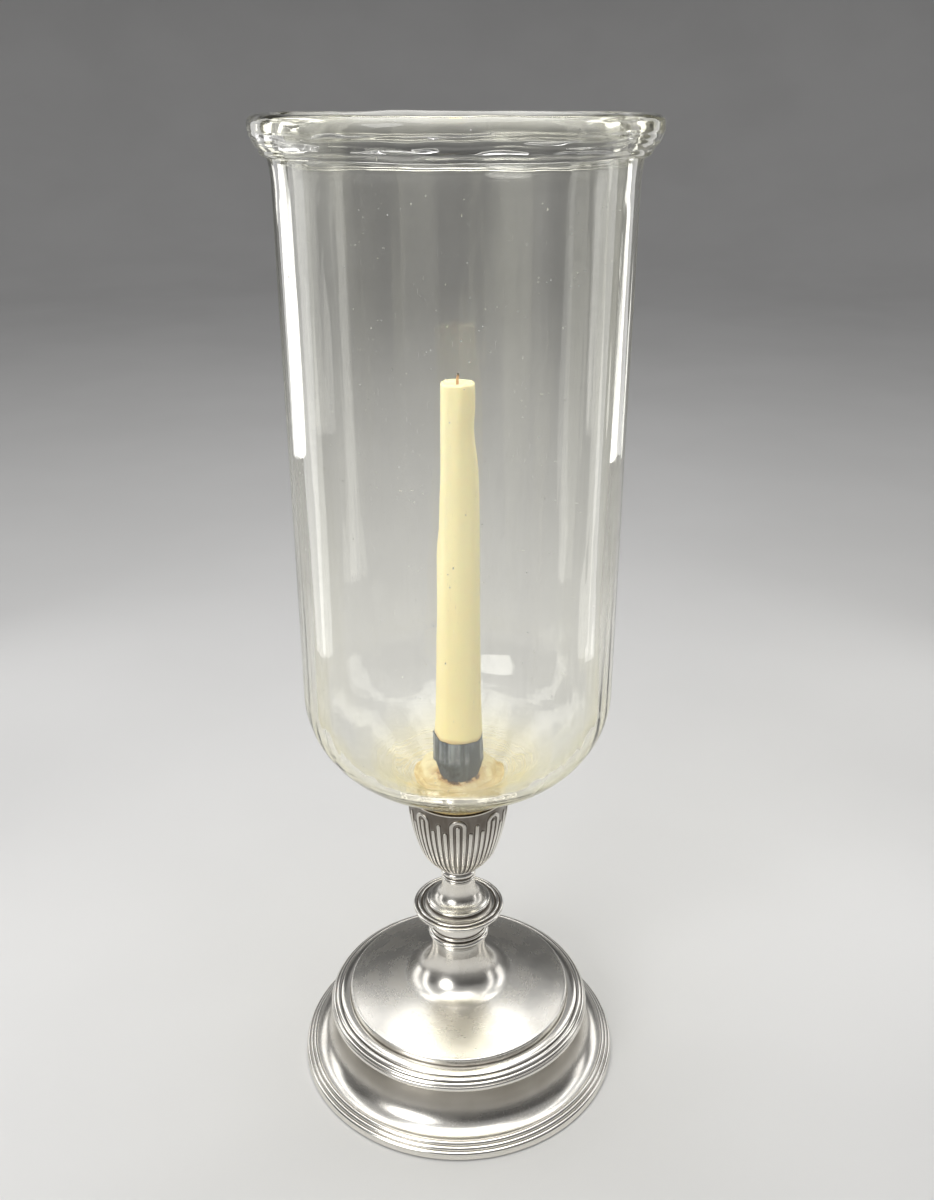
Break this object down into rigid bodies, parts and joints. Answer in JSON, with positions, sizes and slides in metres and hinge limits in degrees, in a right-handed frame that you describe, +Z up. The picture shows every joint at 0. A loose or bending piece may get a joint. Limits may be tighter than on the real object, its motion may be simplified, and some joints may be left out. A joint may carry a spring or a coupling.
{
  "type": "hurricane candle holder",
  "caption": "Silver-plated candlestick with a stepped round foot, turned stem and fluted urn carrying a tall glass storm shade with a folded rim, and a tapered candle in a tube inside it.",
  "frame": {"origin": "centre of the felt face that the foot stands on", "axes": "+Z up along the axis of the stem, shade and candle; -Y is the front, where one arch of the urn's fluting is centred; +X to the right"},
  "size_m": [0.158, 0.158, 0.4476],
  "materials": {
    "silver_plate": "polished silver plate over brass, lightly worn, darker in the quirks",
    "plain_steel": "plain turned steel",
    "felt": "dark green baize",
    "foot_filling": "cast pitch and plaster filling",
    "cork": "dark cork washer",
    "dark_tube": "dull dark grey sheet metal with scuffs",
    "plaster": "rough cream plaster with rust stains",
    "clear_glass": "clear hand-blown glass with seeds, striations and a faint straw tint where it is thick",
    "wax": "ivory candle wax",
    "wick_cotton": "plaited cotton, singed brown"
  },
  "bodies": {
    "stand": {"felt_pad": "felt", "base_plate": "plain_steel", "base_weight": "foot_filling", "foot_flange": "silver_plate", "foot_rim_wire": "silver_plate", "dome_shell": "silver_plate", "dome_border_wire": "silver_plate", "stem_trumpet": "silver_plate", "lower_knop": "silver_plate", "stem_drum": "silver_plate", "saucer_collar": "silver_plate", "bell_waist": "silver_plate", "neck_ring": "silver_plate", "urn_cup": "silver_plate", "nozzle_liner": "plain_steel", "seat_ring": "cork", "tie_rod": "plain_steel", "base_washer": "plain_steel", "base_nut": "plain_steel", "cup_washer": "plain_steel", "cup_nut": "plain_steel"},
    "shade": {"glass_shade": "clear_glass", "plaster_collar": "plaster", "candle_tube": "dark_tube"},
    "candle": {"candle": "wax", "wick": "wick_cotton"}
  },
  "joints": [
    {"name": "shade_lift", "type": "slide", "parent": "stand", "child": "shade", "axis": [0, 0, 1], "range_m": [0, 0.08]},
    {"name": "candle_lift", "type": "slide", "parent": "shade", "child": "candle", "axis": [0, 0, 1], "range_m": [0, 0.3]}
  ]
}
